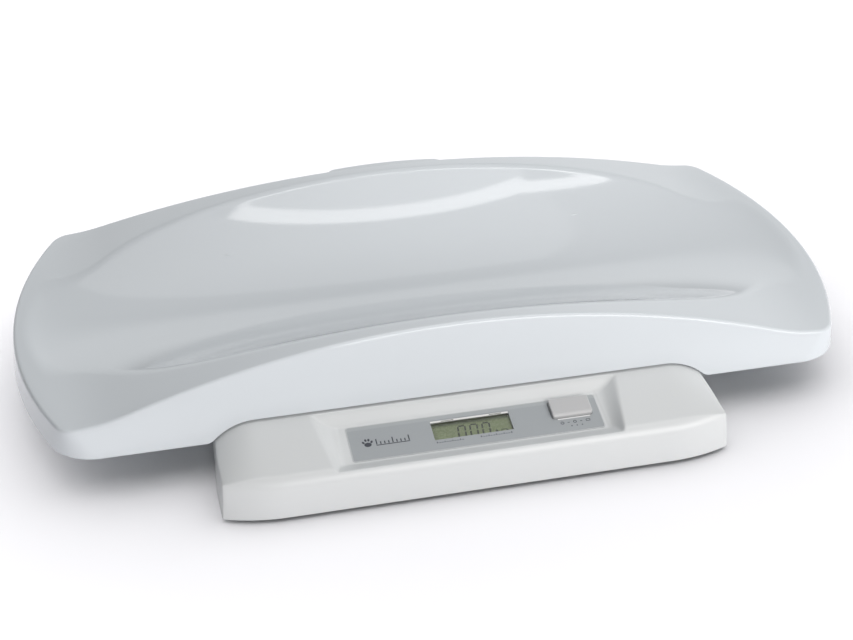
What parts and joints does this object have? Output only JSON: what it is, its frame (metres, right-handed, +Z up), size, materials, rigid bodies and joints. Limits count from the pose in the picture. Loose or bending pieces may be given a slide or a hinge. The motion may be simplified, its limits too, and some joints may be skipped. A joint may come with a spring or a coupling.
{
  "type": "animal weighing scale",
  "caption": "Low electronic bench scale for small animals: a glossy white trough-shaped tray on a flat base, with a front console that has a display and one push button.",
  "frame": {"origin": "on the surface that the scale stands on, below the middle of its whole footprint", "axes": "+X along the tray towards the right when facing the display, +Y towards the rear, away from the display, +Z up"},
  "size_m": [0.554, 0.302, 0.0818],
  "materials": {
    "tray_plastic": "high gloss white ABS moulding",
    "housing_plastic": "gloss white ABS moulding",
    "cover_plastic": "fine spark-eroded off-white ABS",
    "rubber": "matt grey elastomer",
    "screw_steel": "zinc-plated steel",
    "label_foil": "satin grey printed polyester foil",
    "clear_window": "clear acrylic",
    "bezel_plastic": "satin white ABS",
    "display_glass": "olive reflective liquid crystal display",
    "reflector_foil": "satin reflector",
    "strip_rubber": "layered conductive silicone",
    "board_laminate": "green solder mask on glass laminate",
    "chip_plastic": "matt black epoxy",
    "socket_plastic": "natural nylon",
    "button_plastic": "satin grey-white ABS",
    "zinc_steel": "zinc-plated sheet steel",
    "aluminium": "milled aluminium",
    "silicone": "white silicone coating",
    "battery_wrap": "printed film over steel can",
    "contact_nickel": "nickel plate",
    "cable_grey": "PVC sheath",
    "wire_red": "PVC insulation",
    "wire_black": "PVC insulation"
  },
  "bodies": {
    "base": {"console_housing": "housing_plastic", "bottom_cover": "cover_plastic", "foot_front_left": "rubber", "foot_front_right": "rubber", "foot_rear_left": "rubber", "foot_rear_right": "rubber", "housing_screws": "screw_steel", "fascia_label": "label_foil", "display_window": "clear_window", "display_bezel": "bezel_plastic", "display_glass": "display_glass", "display_reflector": "reflector_foil", "contact_strips": "strip_rubber", "circuit_board": "board_laminate", "board_screws": "screw_steel", "board_chips": "chip_plastic", "cable_sockets": "socket_plastic", "switch_housing": "chip_plastic", "mount_plate": "zinc_steel", "mount_plate_screws": "screw_steel", "lower_spacer": "aluminium", "load_cell": "aluminium", "gauge_coating": "silicone", "cell_lower_screws": "screw_steel", "overload_stop": "screw_steel", "stop_nut": "screw_steel", "battery_box": "cover_plastic", "battery_1": "battery_wrap", "battery_2": "battery_wrap", "battery_3": "battery_wrap", "battery_4": "battery_wrap", "contact_springs": "contact_nickel", "contact_plates": "contact_nickel", "load_cell_cable": "cable_grey", "battery_wire_red": "wire_red", "battery_wire_black": "wire_black", "cable_clips": "socket_plastic"},
    "carrier": {"load_carrier": "zinc_steel", "upper_spacer": "aluminium", "cell_upper_screws": "screw_steel", "tray_bush_front_left": "rubber", "tray_bush_front_right": "rubber", "tray_bush_rear_left": "rubber", "tray_bush_rear_right": "rubber"},
    "weighing_tray": {"tray": "tray_plastic"},
    "button": {"button_cap": "button_plastic", "switch_plunger": "chip_plastic"},
    "battery_flap": {"battery_door": "cover_plastic"}
  },
  "joints": [
    {"name": "platform_travel", "type": "slide", "parent": "base", "child": "carrier", "axis": [0, 0, -1], "range_m": [0, 0.0008], "stiffness_N_per_m": 300000, "springref_m": -0.0001, "deforming": ["load_cell"]},
    {"name": "tray_lift", "type": "slide", "parent": "carrier", "child": "weighing_tray", "axis": [0, 0, 1], "range_m": [0, 0.08]},
    {"name": "button_press", "type": "slide", "parent": "base", "child": "button", "axis": [0, 0.2103, -0.9776], "range_m": [0, 0.001], "stiffness_N_per_m": 1200, "springref_m": -0.0005},
    {"name": "battery_door_swing", "type": "hinge", "parent": "base", "child": "battery_flap", "pos_m": [0, -0.0642, 0.0052], "axis": [1, 0, 0], "range_deg": [0, 100]}
  ]
}
